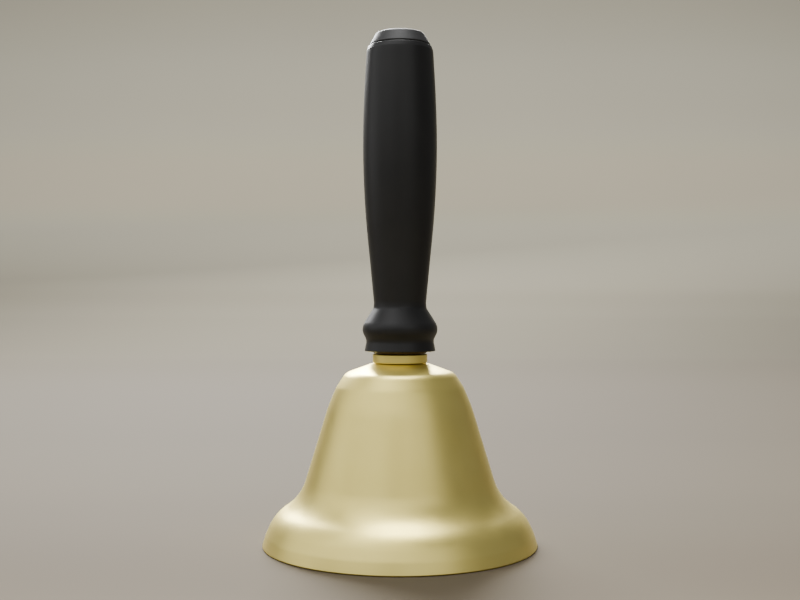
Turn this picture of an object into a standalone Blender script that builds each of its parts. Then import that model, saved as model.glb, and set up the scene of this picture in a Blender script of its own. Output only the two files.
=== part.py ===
"""Service hand bell: a turned handle on a brass cup, held together by one through-rod.

The bell stands on its rim. The origin is at the centre of the rim plane, and +Z runs
up the handle. Lengths are in millimetres here, and MM turns them into metres.
"""
import math

import bmesh
import bpy

MM = 0.001
COLLECTION_NAME = "service_bell"
GAP = 0.3                     # clearance kept between neighbouring pieces

# Through-rod and its nuts (M5)
ROD_R = 2.5
ROD_HOLE_R = ROD_R + GAP
NUT_ACROSS_FLATS = 8.0
NUT_HEIGHT = 4.0
LOCK_WASHER_R = 4.5
LOCK_WASHER_THICK = 1.2
LOCK_WASHER_SLOT = 0.8
LOCK_WASHER_SLANT_DEG = 25.0
ROD_TIP_CHAMFER = 0.5
ROD_ABOVE_NUT = 1.5

# Bell cup
CROWN_TOP_Z = 59.3
CROWN_INSIDE_Z = 56.9
CROWN_SEAT_R = 9.3
CUP_OUTSIDE = [               # corners from crown to rim: radius, height, corner rounding
    (CROWN_SEAT_R, CROWN_TOP_Z, 0.0),
    (17.95, 56.2, 4.3),       # shoulder, first bend
    (20.95, 51.6, 8.3),       # shoulder, second bend
    (23.65, 45.1, 50.0),      # top of the straight waist
    (32.65, 15.6, 17.0),      # waist turns out into the flare
    (41.2, 9.6, 13.0),        # flare turns down into the lip
    (43.85, 4.0, 8.0),
    (45.07, 0.9, 0.5),        # widest point of the lip
    (44.5, 0.0, 0.3),         # outer edge of the flat that the bell stands on
]
CUP_INSIDE = [                # corners from rim to crown
    (42.3, 0.0, 0.5),         # inner edge of the flat
    (38.3, 8.0, 11.0),        # thick sound bow behind the lip
    (31.2, 13.1, 19.0),
    (21.5, 44.4, 48.0),
    (18.9, 50.6, 6.0),
    (16.5, 54.2, 3.0),
    (8.6, CROWN_INSIDE_Z, 2.0),
]

# Collar and ferrule between the cup and the handle
COLLAR_R = 9.0
COLLAR_BOTTOM_Z = CROWN_TOP_Z + GAP
COLLAR_TOP_Z = 62.4
COLLAR_CHAMFER = 0.25
CROWN_WASHER_R = 7.8
CROWN_WASHER_THICK = 1.1
FERRULE_R = 8.7
FERRULE_LENGTH = 4.3

# Handle
HANDLE_BOTTOM_Z = 63.4
HANDLE_TOP_Z = 163.6
HANDLE_BORE_R = 3.0
SWELL_TOP_Z = 161.0
WAIST_Z = 79.2                # thinnest place, just above the bead
GRIP_RADII = [11.05, 11.8, 12.2, 11.98, 11.2, 9.9, 8.6]   # at equal steps from SWELL_TOP_Z to WAIST_Z
GRIP_EDGE = [                 # slanted top edge of the grip
    (10.42, HANDLE_TOP_Z, 0.3),
    (10.95, 162.1, 1.5),
]
HANDLE_FOOT = [               # corners of the turned bead and foot
    (GRIP_RADII[-1], WAIST_Z, 0.0),
    (8.75, 77.6, 2.0),
    (12.35, 71.8, 4.5),       # bead, upper bend
    (12.35, 69.7, 3.5),       # bead, lower bend
    (11.0, 66.9, 2.5),        # groove under the bead
    (11.75, HANDLE_BOTTOM_Z, 0.3),
]
TOP_POCKET_R = 6.4            # pocket that holds the top nut
TOP_POCKET_FLOOR_Z = 150.0
CAP_BOTTOM_Z = HANDLE_TOP_Z + GAP
CAP_TOP_Z = 168.0
CAP_SPIGOT_BOTTOM_Z = 159.4
CAP_OUTSIDE = [
    (0.0, CAP_TOP_Z, 0.0),
    (7.75, CAP_TOP_Z, 1.2),
    (10.3, CAP_BOTTOM_Z, 0.0),
]

# Washers at the two ends of the rod
TOP_WASHER_R = 6.0
INNER_WASHER_R = 6.5
INNER_GASKET_R = 7.5
WASHER_THICK = 1.0
GASKET_THICK = 0.8

# Clapper and its hanging parts
EYE_BARREL_R = 4.0
EYE_BARREL_LENGTH = 4.8
EYE_THREAD_DEPTH = 3.2
EYE_BARREL_CHAMFER = 0.4
EYE_WIRE_R = 1.1
EYE_RING_R = 3.2
EYE_RING_OVERLAP = 0.3        # how far the ring's centre line reaches into the barrel
LINK_WIRE_R = 1.0
LINK_HALF_WIDTH = 2.8
LINK_STRAIGHT = 3.0
CLAPPER_WIRE_R = 1.2
CLAPPER_RING_R = 3.2
BALL_R = 7.5
BALL_CENTRE_Z = 9.7
BALL_NECK_HEIGHT = 7.1        # flat top of the ball, above its centre
BALL_HOLE_DEPTH = 9.8
BALL_NECK_Z = BALL_CENTRE_Z + BALL_NECK_HEIGHT
BALL_HOLE_R = CLAPPER_WIRE_R + GAP
BALL_HOLE_BOTTOM_Z = BALL_NECK_Z - BALL_HOLE_DEPTH
SMALL_NUT_ACROSS_FLATS = 5.5
SMALL_NUT_HEIGHT = 2.4

# Heights that follow from the pieces stacked under the crown
INNER_GASKET_TOP_Z = CROWN_INSIDE_Z - GAP
INNER_WASHER_TOP_Z = INNER_GASKET_TOP_Z - GASKET_THICK - GAP
INNER_LOCK_TOP_Z = INNER_WASHER_TOP_Z - WASHER_THICK - GAP
CLAMP_NUT_TOP_Z = INNER_LOCK_TOP_Z - LOCK_WASHER_THICK - GAP
EYE_BARREL_TOP_Z = CLAMP_NUT_TOP_Z - NUT_HEIGHT - GAP
EYE_BARREL_BOTTOM_Z = EYE_BARREL_TOP_Z - EYE_BARREL_LENGTH
EYE_RING_Z = EYE_BARREL_BOTTOM_Z + EYE_RING_OVERLAP - EYE_RING_R
LINK_PIVOT_Z = EYE_RING_Z - EYE_RING_R + EYE_WIRE_R + GAP + LINK_WIRE_R
LINK_BOTTOM_Z = LINK_PIVOT_Z - 2 * LINK_HALF_WIDTH - LINK_STRAIGHT
CLAPPER_PIVOT_Z = LINK_BOTTOM_Z + LINK_WIRE_R + GAP + CLAPPER_WIRE_R
CLAPPER_RING_Z = CLAPPER_PIVOT_Z - CLAPPER_RING_R

# Heights of the pieces stacked in the handle's top pocket
TOP_WASHER_BOTTOM_Z = TOP_POCKET_FLOOR_Z + GAP
TOP_LOCK_BOTTOM_Z = TOP_WASHER_BOTTOM_Z + WASHER_THICK + GAP
TOP_NUT_BOTTOM_Z = TOP_LOCK_BOTTOM_Z + LOCK_WASHER_THICK + GAP
ROD_TOP_Z = TOP_NUT_BOTTOM_Z + NUT_HEIGHT + ROD_ABOVE_NUT
ROD_BOTTOM_Z = EYE_BARREL_TOP_Z - EYE_THREAD_DEPTH + GAP

# Facets
CUP_STEPS = 52
HANDLE_STEPS = 36
SMALL_STEPS = 24
WIRE_STEPS = 16
RING_SEGMENTS = (28, 10)      # round the eye, round its wire
LINK_ARC_STEPS = 10
LINK_WIRE_RESOLUTION = 2
BALL_ARC_STEPS = 12
SWELL_PIECES = 3
ARC_STEP_DEG = 15.0

# Materials: colour, metallic, roughness
BRASS = ((0.56, 0.43, 0.16), 1.0, 0.30)
DARK_BRASS = ((0.30, 0.20, 0.06), 1.0, 0.38)
BLACK_LACQUER = ((0.012, 0.012, 0.013), 0.0, 0.42)
STEEL = ((0.45, 0.45, 0.47), 1.0, 0.32)
FIBRE = ((0.060, 0.036, 0.022), 0.0, 0.80)


# ---------------------------------------------------------------- outlines

def rounded(corners):
    """Outline through corners (radius, height, rounding), each rounded by an arc."""
    points = [corners[0][:2]]
    for before, corner, after in zip(corners, corners[1:], corners[2:]):
        points += corner_arc(before, corner, after)
    points.append(corners[-1][:2])
    return points


def corner_arc(before, corner, after):
    """Points of the arc that rounds one corner of an outline."""
    radius = corner[2]
    if radius <= 0.0:
        return [corner[:2]]
    to_before = unit(before[0] - corner[0], before[1] - corner[1])
    to_after = unit(after[0] - corner[0], after[1] - corner[1])
    cos_angle = to_before[0] * to_after[0] + to_before[1] * to_after[1]
    half_angle = math.acos(max(-1.0, min(1.0, cos_angle))) / 2
    bisector = unit(to_before[0] + to_after[0], to_before[1] + to_after[1])
    reach = radius / math.sin(half_angle)
    centre = (corner[0] + bisector[0] * reach, corner[1] + bisector[1] * reach)
    tangent = radius / math.tan(half_angle)
    start = (corner[0] + to_before[0] * tangent, corner[1] + to_before[1] * tangent)
    start_angle = math.atan2(start[1] - centre[1], start[0] - centre[0])
    sweep = math.pi - 2 * half_angle
    if to_before[0] * to_after[1] - to_before[1] * to_after[0] > 0:
        sweep = -sweep
    count = max(2, math.ceil(abs(math.degrees(sweep)) / ARC_STEP_DEG))
    angles = [start_angle + sweep * i / count for i in range(count + 1)]
    return [(centre[0] + radius * math.cos(a), centre[1] + radius * math.sin(a)) for a in angles]


def unit(x, y):
    length = math.hypot(x, y)
    return (x / length, y / length)


def swell(radii, top_z, bottom_z):
    """Smooth curve through radii at equal steps down from top_z, without the last one."""
    step = (top_z - bottom_z) / (len(radii) - 1)
    ends = [radii[0]] + radii + [radii[-1]]
    points = []
    for i, (r0, r1, r2, r3) in enumerate(zip(ends, ends[1:], ends[2:], ends[3:])):
        for j in range(SWELL_PIECES):
            part = j / SWELL_PIECES
            points.append((between(r0, r1, r2, r3, part), top_z - step * (i + part)))
    return points


def between(a, b, c, d, t):
    """Catmull-Rom value between b and c at t from 0 to 1."""
    return 0.5 * (2 * b + (c - a) * t + (2 * a - 5 * b + 4 * c - d) * t ** 2
                  + (3 * b - 3 * c + d - a) * t ** 3)


def ring_outline(inner_r, outer_r, bottom_z, top_z, chamfer=0.0):
    """Closed outline of a flat ring, with its two outer edges chamfered."""
    outline = [(inner_r, top_z)]
    if chamfer > 0.0:
        outline += [(outer_r - chamfer, top_z), (outer_r, top_z - chamfer),
                    (outer_r, bottom_z + chamfer), (outer_r - chamfer, bottom_z)]
    else:
        outline += [(outer_r, top_z), (outer_r, bottom_z)]
    outline.append((inner_r, bottom_z))
    return outline


# ---------------------------------------------------------------- making objects

def clear_scene():
    for obj in list(bpy.data.objects):
        bpy.data.objects.remove(obj, do_unlink=True)


def make_collection(name):
    collection = bpy.data.collections.new(name)
    bpy.context.scene.collection.children.link(collection)
    return collection


def make_material(name, finish):
    colour, metallic, roughness = finish
    material = bpy.data.materials.new(name)
    material.use_nodes = True
    shader = material.node_tree.nodes["Principled BSDF"]
    shader.inputs["Base Color"].default_value = (*colour, 1.0)
    shader.inputs["Metallic"].default_value = metallic
    shader.inputs["Roughness"].default_value = roughness
    return material


def add_object(name, mesh, finish, collection):
    obj = bpy.data.objects.new(name, mesh)
    collection.objects.link(obj)
    if finish is not None:
        obj.data.materials.append(make_material(name, finish))
    return obj


def turned(name, outline, finish, collection, steps=SMALL_STEPS, closed=False, origin_z=0.0):
    """Solid of revolution about Z from an outline of (radius, height) points."""
    mesh = bpy.data.meshes.new(name)
    verts = [(r * MM, 0.0, (z - origin_z) * MM) for r, z in outline]
    edges = [(i, i + 1) for i in range(len(verts) - 1)]
    if closed:
        edges.append((len(verts) - 1, 0))
    mesh.from_pydata(verts, edges, [])
    obj = add_object(name, mesh, finish, collection)
    obj.location.z = origin_z * MM
    screw = obj.modifiers.new("turn", "SCREW")
    screw.axis = "Z"
    screw.steps = steps
    screw.render_steps = steps
    screw.use_merge_vertices = True
    screw.merge_threshold = 0.00001
    screw.use_smooth_shade = True
    return obj


def primitive(name, build, finish, collection, z=0.0, turn=None):
    """Object from a bmesh primitive that build(bm) makes, at height z in millimetres."""
    bm = bmesh.new()
    build(bm)
    mesh = bpy.data.meshes.new(name)
    bm.to_mesh(mesh)
    bm.free()
    obj = add_object(name, mesh, finish, collection)
    obj.location.z = z * MM
    if turn is not None:
        obj.rotation_euler = turn
    return obj


def prism(sides, circumradius, height):
    """Builder of an upright prism or cylinder, centred on its own origin."""
    def build(bm):
        bmesh.ops.create_cone(bm, cap_ends=True, cap_tris=False, segments=sides,
                              radius1=circumradius * MM, radius2=circumradius * MM,
                              depth=height * MM)
    return build


def cut(obj, cutter, operation="DIFFERENCE"):
    """Boolean with a cutter, which stays hidden from renders."""
    modifier = obj.modifiers.new(operation.lower(), "BOOLEAN")
    modifier.operation = operation
    modifier.solver = "EXACT"
    modifier.object = cutter
    cutter.hide_render = True
    cutter.display_type = "WIRE"


# ---------------------------------------------------------------- fasteners

def hex_nut(name, across_flats, height, hole_r, bottom_z, parts, cutters):
    """Hexagon nut with a plain hole, its bottom face at bottom_z."""
    centre_z = bottom_z + height / 2
    circumradius = across_flats / math.sqrt(3)
    nut = primitive(name, prism(6, circumradius, height), STEEL, parts, centre_z)
    bore = primitive(name + "_bore", prism(SMALL_STEPS, hole_r, height * 2), None, cutters, centre_z)
    cut(nut, bore)
    return nut


def split_washer(name, bottom_z, parts, cutters):
    """Spring lock washer: a ring cut through by a slanted slot."""
    outline = ring_outline(ROD_HOLE_R, LOCK_WASHER_R, bottom_z, bottom_z + LOCK_WASHER_THICK)
    washer = turned(name, outline, STEEL, parts, closed=True)

    def slot_block(bm):
        bmesh.ops.create_cube(bm, size=1.0)
        reach = 2 * (LOCK_WASHER_R - ROD_HOLE_R)
        bmesh.ops.scale(bm, vec=(reach * MM, LOCK_WASHER_SLOT * MM, reach * MM), verts=bm.verts)

    slot = primitive(name + "_slot", slot_block, None, cutters, bottom_z + LOCK_WASHER_THICK / 2,
                     turn=(math.radians(LOCK_WASHER_SLANT_DEG), 0.0, 0.0))
    slot.location.x = (ROD_HOLE_R + LOCK_WASHER_R) / 2 * MM
    cut(washer, slot)
    return washer


# ---------------------------------------------------------------- sub-parts

def bell_cup(parts):
    outline = [(ROD_HOLE_R, CROWN_TOP_Z)] + rounded(CUP_OUTSIDE + CUP_INSIDE)
    outline.append((ROD_HOLE_R, CROWN_INSIDE_Z))
    turned("bell_cup", outline, BRASS, parts, CUP_STEPS, closed=True)


def neck(parts):
    """Fibre washer, collar and ferrule, from the crown up to the handle."""
    washer_bottom_z = CROWN_TOP_Z + GAP
    washer_top_z = washer_bottom_z + CROWN_WASHER_THICK
    turned("crown_washer", ring_outline(ROD_HOLE_R, CROWN_WASHER_R, washer_bottom_z, washer_top_z),
           FIBRE, parts, closed=True)

    recess_r = CROWN_WASHER_R + GAP
    recess_top_z = washer_top_z + GAP
    collar = ring_outline(recess_r, COLLAR_R, COLLAR_BOTTOM_Z, COLLAR_TOP_Z, COLLAR_CHAMFER)
    collar[0] = (ROD_HOLE_R, COLLAR_TOP_Z)
    collar += [(recess_r, recess_top_z), (ROD_HOLE_R, recess_top_z)]
    turned("collar", collar, BRASS, parts, HANDLE_STEPS, closed=True)

    ferrule_bottom_z = COLLAR_TOP_Z + GAP
    turned("handle_ferrule", ring_outline(ROD_HOLE_R, FERRULE_R, ferrule_bottom_z,
                                          ferrule_bottom_z + FERRULE_LENGTH),
           DARK_BRASS, parts, HANDLE_STEPS, closed=True)


def handle(parts):
    """Turned grip with a bore, a ferrule pocket below and a nut pocket on top."""
    ferrule_pocket_r = FERRULE_R + GAP
    ferrule_pocket_z = COLLAR_TOP_Z + GAP + FERRULE_LENGTH + GAP
    outline = rounded([(TOP_POCKET_R, HANDLE_TOP_Z, 0.0)] + GRIP_EDGE + [(GRIP_RADII[0], SWELL_TOP_Z)])[:-1]
    outline += swell(GRIP_RADII, SWELL_TOP_Z, WAIST_Z)
    outline += rounded(HANDLE_FOOT + [(ferrule_pocket_r, HANDLE_BOTTOM_Z, 0.0)])
    outline += [(ferrule_pocket_r, ferrule_pocket_z), (HANDLE_BORE_R, ferrule_pocket_z),
                (HANDLE_BORE_R, TOP_POCKET_FLOOR_Z), (TOP_POCKET_R, TOP_POCKET_FLOOR_Z)]
    turned("handle_grip", outline, BLACK_LACQUER, parts, HANDLE_STEPS, closed=True)

    spigot_r = TOP_POCKET_R - GAP
    cap = rounded(CAP_OUTSIDE)
    cap += [(spigot_r, CAP_BOTTOM_Z), (spigot_r, CAP_SPIGOT_BOTTOM_Z), (0.0, CAP_SPIGOT_BOTTOM_Z)]
    turned("handle_end_cap", cap, BLACK_LACQUER, parts, HANDLE_STEPS)


def rod_and_fasteners(parts, cutters):
    """Through-rod, with what clamps it in the handle's pocket and under the crown."""
    tip_r = ROD_R - ROD_TIP_CHAMFER
    turned("tie_rod", [(0.0, ROD_TOP_Z), (tip_r, ROD_TOP_Z), (ROD_R, ROD_TOP_Z - ROD_TIP_CHAMFER),
                       (ROD_R, ROD_BOTTOM_Z + ROD_TIP_CHAMFER), (tip_r, ROD_BOTTOM_Z),
                       (0.0, ROD_BOTTOM_Z)], STEEL, parts)

    turned("top_washer", ring_outline(ROD_HOLE_R, TOP_WASHER_R, TOP_WASHER_BOTTOM_Z,
                                      TOP_WASHER_BOTTOM_Z + WASHER_THICK),
           STEEL, parts, closed=True)
    split_washer("top_lock_washer", TOP_LOCK_BOTTOM_Z, parts, cutters)
    hex_nut("top_nut", NUT_ACROSS_FLATS, NUT_HEIGHT, ROD_HOLE_R, TOP_NUT_BOTTOM_Z, parts, cutters)

    turned("inner_gasket", ring_outline(ROD_HOLE_R, INNER_GASKET_R,
                                        INNER_GASKET_TOP_Z - GASKET_THICK, INNER_GASKET_TOP_Z),
           FIBRE, parts, closed=True)
    turned("inner_washer", ring_outline(ROD_HOLE_R, INNER_WASHER_R,
                                        INNER_WASHER_TOP_Z - WASHER_THICK, INNER_WASHER_TOP_Z),
           STEEL, parts, closed=True)
    split_washer("inner_lock_washer", INNER_LOCK_TOP_Z - LOCK_WASHER_THICK, parts, cutters)
    hex_nut("clamp_nut", NUT_ACROSS_FLATS, NUT_HEIGHT, ROD_HOLE_R,
            CLAMP_NUT_TOP_Z - NUT_HEIGHT, parts, cutters)


def eye_ring(name, ring_r, wire_r, z, collection):
    """Round wire eye that stands in the XZ plane."""
    bpy.ops.mesh.primitive_torus_add(major_segments=RING_SEGMENTS[0], minor_segments=RING_SEGMENTS[1],
                                     major_radius=ring_r * MM, minor_radius=wire_r * MM,
                                     location=(0.0, 0.0, z * MM),
                                     rotation=(math.radians(90.0), 0.0, 0.0))
    ring = bpy.context.active_object
    ring.name = name
    for other in list(ring.users_collection):
        other.objects.unlink(ring)
    collection.objects.link(ring)
    return ring


def clapper_eye(parts, cutters):
    """Threaded barrel on the rod's lower end, with the eye that the link hangs in."""
    hole_floor_z = EYE_BARREL_TOP_Z - EYE_THREAD_DEPTH
    end_r = EYE_BARREL_R - EYE_BARREL_CHAMFER
    barrel = [(ROD_HOLE_R, EYE_BARREL_TOP_Z), (end_r, EYE_BARREL_TOP_Z),
              (EYE_BARREL_R, EYE_BARREL_TOP_Z - EYE_BARREL_CHAMFER),
              (EYE_BARREL_R, EYE_BARREL_BOTTOM_Z + EYE_BARREL_CHAMFER),
              (end_r, EYE_BARREL_BOTTOM_Z), (0.0, EYE_BARREL_BOTTOM_Z)]
    outline = [(0.0, hole_floor_z), (ROD_HOLE_R, hole_floor_z)] + barrel
    eye = turned("clapper_eye", outline, STEEL, parts)
    cut(eye, eye_ring("clapper_eye_ring", EYE_RING_R, EYE_WIRE_R, EYE_RING_Z, cutters), "UNION")


def clapper_link(parts, pivot):
    """Oval wire link in the YZ plane, hanging in the eye. Its origin is on its hinge."""
    bend_r = LINK_HALF_WIDTH
    upper_z = -LINK_HALF_WIDTH
    lower_z = upper_z - LINK_STRAIGHT
    route = []
    for i in range(LINK_ARC_STEPS + 1):
        angle = math.pi * i / LINK_ARC_STEPS
        route.append((bend_r * math.cos(angle), upper_z + bend_r * math.sin(angle)))
    for i in range(LINK_ARC_STEPS + 1):
        angle = math.pi + math.pi * i / LINK_ARC_STEPS
        route.append((bend_r * math.cos(angle), lower_z + bend_r * math.sin(angle)))
    curve = bpy.data.curves.new("clapper_link", "CURVE")
    curve.dimensions = "3D"
    curve.bevel_depth = LINK_WIRE_R * MM
    curve.bevel_resolution = LINK_WIRE_RESOLUTION
    spline = curve.splines.new("POLY")
    spline.points.add(len(route) - 1)
    for point, (y, z) in zip(spline.points, route):
        point.co = (0.0, y * MM, z * MM, 1.0)
    spline.use_cyclic_u = True
    link = add_object("clapper_link", curve, STEEL, parts)
    link.parent = pivot


def clapper(parts, cutters, pivot):
    """Clapper rod with its eye, the ball and the nut that locks it. Origins are on the hinge."""
    stem_bottom_z = BALL_HOLE_BOTTOM_Z + GAP
    stem_top_z = CLAPPER_RING_Z - CLAPPER_RING_R
    rod = turned("clapper_rod", [(0.0, stem_top_z), (CLAPPER_WIRE_R, stem_top_z),
                                 (CLAPPER_WIRE_R, stem_bottom_z), (0.0, stem_bottom_z)],
                 STEEL, parts, WIRE_STEPS, origin_z=CLAPPER_PIVOT_Z)
    ring = eye_ring("clapper_rod_ring", CLAPPER_RING_R, CLAPPER_WIRE_R, CLAPPER_RING_Z, cutters)
    cut(rod, ring, "UNION")

    neck_angle = math.acos((BALL_NECK_Z - BALL_CENTRE_Z) / BALL_R)
    outline = [(0.0, BALL_HOLE_BOTTOM_Z), (BALL_HOLE_R, BALL_HOLE_BOTTOM_Z), (BALL_HOLE_R, BALL_NECK_Z)]
    for i in range(BALL_ARC_STEPS + 1):
        angle = neck_angle + (math.pi - neck_angle) * i / BALL_ARC_STEPS
        radius = BALL_R * math.sin(angle) if i < BALL_ARC_STEPS else 0.0
        outline.append((radius, BALL_CENTRE_Z + BALL_R * math.cos(angle)))
    ball = turned("clapper_ball", outline, BRASS, parts, origin_z=CLAPPER_PIVOT_Z)

    nut = hex_nut("ball_lock_nut", SMALL_NUT_ACROSS_FLATS, SMALL_NUT_HEIGHT, BALL_HOLE_R,
                  BALL_NECK_Z + GAP, parts, cutters)
    move_origin(nut, CLAPPER_PIVOT_Z)
    for piece in (rod, ball, nut):
        piece.location.z = 0.0
        piece.parent = pivot


def move_origin(obj, origin_z):
    """Move an object's origin to origin_z and leave its shape where it is."""
    shift = obj.location.z - origin_z * MM
    for vertex in obj.data.vertices:
        vertex.co.z += shift
    obj.location.z = origin_z * MM


def make_pivot(name, z, collection, parent=None):
    """Empty on a hinge axis."""
    empty = bpy.data.objects.new(name, None)
    empty.empty_display_size = 0.01
    collection.objects.link(empty)
    empty.parent = parent
    parent_z = parent.location.z if parent is not None else 0.0
    empty.location.z = z * MM - parent_z
    return empty


def main():
    clear_scene()
    parts = make_collection(COLLECTION_NAME)
    cutters = make_collection("cutters")
    bell_cup(parts)
    neck(parts)
    handle(parts)
    rod_and_fasteners(parts, cutters)
    clapper_eye(parts, cutters)
    link_pivot = make_pivot("link_pivot", LINK_PIVOT_Z, parts)
    clapper_link(parts, link_pivot)
    clapper_pivot = make_pivot("clapper_pivot", CLAPPER_PIVOT_Z, parts, link_pivot)
    clapper(parts, cutters, clapper_pivot)
    bpy.context.view_layer.update()


main()
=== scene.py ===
"""Service hand bell: fine meshes, materials, stage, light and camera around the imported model.

Lengths are in millimetres unless a name ends in _M, and MM turns them into metres.
"""
import math

import bpy
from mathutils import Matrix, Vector

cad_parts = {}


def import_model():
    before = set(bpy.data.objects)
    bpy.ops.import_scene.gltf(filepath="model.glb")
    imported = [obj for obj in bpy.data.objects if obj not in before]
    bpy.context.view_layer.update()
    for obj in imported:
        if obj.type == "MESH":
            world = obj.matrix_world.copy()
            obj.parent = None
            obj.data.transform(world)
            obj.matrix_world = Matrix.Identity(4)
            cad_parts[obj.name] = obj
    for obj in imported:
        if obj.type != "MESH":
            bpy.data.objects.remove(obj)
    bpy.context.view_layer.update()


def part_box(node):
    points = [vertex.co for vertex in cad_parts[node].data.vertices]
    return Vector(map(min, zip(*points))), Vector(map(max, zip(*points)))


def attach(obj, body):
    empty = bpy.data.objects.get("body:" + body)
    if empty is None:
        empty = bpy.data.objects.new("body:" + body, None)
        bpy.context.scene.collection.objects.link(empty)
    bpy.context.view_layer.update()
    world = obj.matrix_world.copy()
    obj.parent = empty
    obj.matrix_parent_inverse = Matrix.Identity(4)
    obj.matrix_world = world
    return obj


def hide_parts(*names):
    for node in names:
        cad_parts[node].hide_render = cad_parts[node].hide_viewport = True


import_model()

MM = 0.001


def span(node):
    """Bottom height, top height and outer radius of a turned CAD node."""
    low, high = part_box(node)
    return low.z / MM, high.z / MM, high.x / MM


GAP = 0.3                     # clearance between neighbouring CAD pieces

# Through-rod and fasteners
ROD_BOTTOM, ROD_TOP, ROD_R = span("tie_rod")
ROD_HOLE_R = ROD_R + GAP
ROD_PITCH = 0.8
THREAD_DEPTH = 0.45
ROD_ROOT_R = ROD_R - THREAD_DEPTH
ROD_THREAD_LENGTH = 16.0
SMALL_HOLE_R = 1.5            # hole for the clapper wire in the ball and its nut

# Bell cup
CUP_BOTTOM, CROWN_TOP, _ = span("bell_cup")
CROWN_THICK = 2.4
CROWN_INSIDE = CROWN_TOP - CROWN_THICK
CROWN_SEAT_R = 9.3
CUP_OUTSIDE = [               # corners from crown to rim: radius, height, corner rounding
    (CROWN_SEAT_R, CROWN_TOP, 0.0),
    (17.95, 56.2, 4.3),       # shoulder, first bend
    (20.95, 51.6, 8.3),       # shoulder, second bend
    (23.65, 45.1, 50.0),      # top of the straight waist
    (32.65, 15.6, 17.0),      # waist turns out into the flare
    (41.2, 9.6, 13.0),        # flare turns down into the lip
    (43.85, 4.0, 8.0),        # lip
    (45.0, 0.35, 0.3),        # widest point of the lip
    (44.7, CUP_BOTTOM, 0.15),  # outer edge of the flat that the bell stands on
]
CUP_INSIDE = [                # corners from rim to crown
    (42.3, CUP_BOTTOM, 0.5),  # inner edge of the flat
    (38.3, 8.0, 11.0),        # thick sound bow behind the lip
    (31.2, 13.1, 19.0),
    (21.5, 44.4, 48.0),
    (18.9, 50.6, 6.0),
    (16.5, 54.2, 3.0),
    (8.6, CROWN_INSIDE, 2.0),
    (ROD_HOLE_R, CROWN_INSIDE, 0.0),
]

# Neck
WASHER_BOTTOM, WASHER_TOP, WASHER_R = span("crown_washer")
COLLAR_BOTTOM, COLLAR_TOP, COLLAR_R = span("collar")
COLLAR_EDGE = 0.28            # rounding of the collar's outer edges
COLLAR_HOLE_EDGE = 0.15
RECESS_EDGE = 0.1             # rounding in the collar's recess for the washer
FERRULE_BOTTOM, FERRULE_TOP, FERRULE_R = span("handle_ferrule")

# Handle
HANDLE_BOTTOM, HANDLE_TOP, _ = span("handle_grip")
HANDLE_BORE_R = 3.0
SWELL_TOP = 161.0
WAIST_Z = 79.2
GRIP_RADII = [11.05, 11.8, 12.2, 11.98, 11.2, 9.9, 8.6]   # at equal steps from SWELL_TOP to WAIST_Z
GRIP_EDGE = [                 # slanted top edge of the grip
    (10.42, HANDLE_TOP, 0.35),
    (10.95, 162.1, 1.5),
]
HANDLE_FOOT = [               # corners of the turned bead and foot
    (GRIP_RADII[-1], WAIST_Z, 0.0),
    (8.75, 77.6, 2.0),
    (12.35, 71.8, 4.5),       # bead, upper bend
    (12.35, 69.7, 3.5),       # bead, lower bend
    (11.0, 66.9, 2.5),        # groove under the bead
    (11.75, HANDLE_BOTTOM, 0.3),
]
TOP_POCKET_R = 6.4
TOP_POCKET_FLOOR = 150.0
CAP_SPIGOT_BOTTOM, CAP_TOP, CAP_R = span("handle_end_cap")
CAP_SEAM = 0.12               # open joint between cap and grip
CAP_BOTTOM = HANDLE_TOP + CAP_SEAM
CAP_OUTSIDE = [               # corners from the middle of the top to the seam
    (0.0, CAP_TOP, 0.0),
    (7.8, CAP_TOP, 1.3),
    (CAP_R, CAP_BOTTOM, 0.35),
]

# Hanging parts
EYE_WIRE_R = 1.1
EYE_RING_R = 3.2
EYE_RING_OVERLAP = 0.3        # how far the ring's centre line reaches into the barrel
EYE_BARREL_R = 4.0
EYE_BARREL_EDGE = 0.4
EYE_THREAD_DEPTH = 3.2
EYE_BOTTOM, EYE_TOP, _ = span("clapper_eye")
EYE_RING_Z = EYE_BOTTOM + EYE_WIRE_R + EYE_RING_R
EYE_BARREL_BOTTOM = EYE_RING_Z + EYE_RING_R - EYE_RING_OVERLAP
EYE_THREAD_FLOOR = EYE_TOP - EYE_THREAD_DEPTH
LINK_BOTTOM, LINK_TOP, LINK_WIRE_R = span("clapper_link")
LINK_HALF_WIDTH = 2.8
LINK_JOINT_GAP = 0.12         # butt joint of the bent wire
CLAPPER_BOTTOM, CLAPPER_TOP, _ = span("clapper_rod")
CLAPPER_WIRE_R = 1.2
CLAPPER_RING_R = 3.2
CLAPPER_RING_Z = CLAPPER_TOP - CLAPPER_WIRE_R - CLAPPER_RING_R
BALL_BOTTOM, BALL_TOP, BALL_R = span("clapper_ball")
BALL_CENTRE = BALL_BOTTOM + BALL_R
BALL_HOLE_BELOW_CENTRE = 2.7
BALL_HOLE_FLOOR = BALL_CENTRE - BALL_HOLE_BELOW_CENTRE

# Mesh resolution
CUP_STEPS = 240
HANDLE_STEPS = 144
SMALL_STEPS = 96
NUT_STEPS = 120
ROD_STEPS = 48
WIRE_SIDES = 28
ARC_STEP_DEG = 2.5
MIN_ARC_PIECES = 4
SWELL_PIECES = 10             # pieces between two stations of the grip
THREAD_ROWS_PER_PITCH = 8
LOCK_WASHER_PIECES = 90
LINK_BEND_PIECES = 32
CLAPPER_RING_PIECES = 72
CLAPPER_BEND_PIECES = 12
CLAPPER_STEM_PIECES = 6
BALL_PIECES = 64
SHARP_DEG = 32.0              # edges sharper than this are shaded as edges

# Camera: level, in front of the bell, with the rod axis in the middle of the picture
CAMERA_DISTANCE_M = 0.3661
CAMERA_HEIGHT_M = 0.0802
CAMERA_LENS_MM = 50.0


# ---------------------------------------------------------------- outlines

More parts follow.
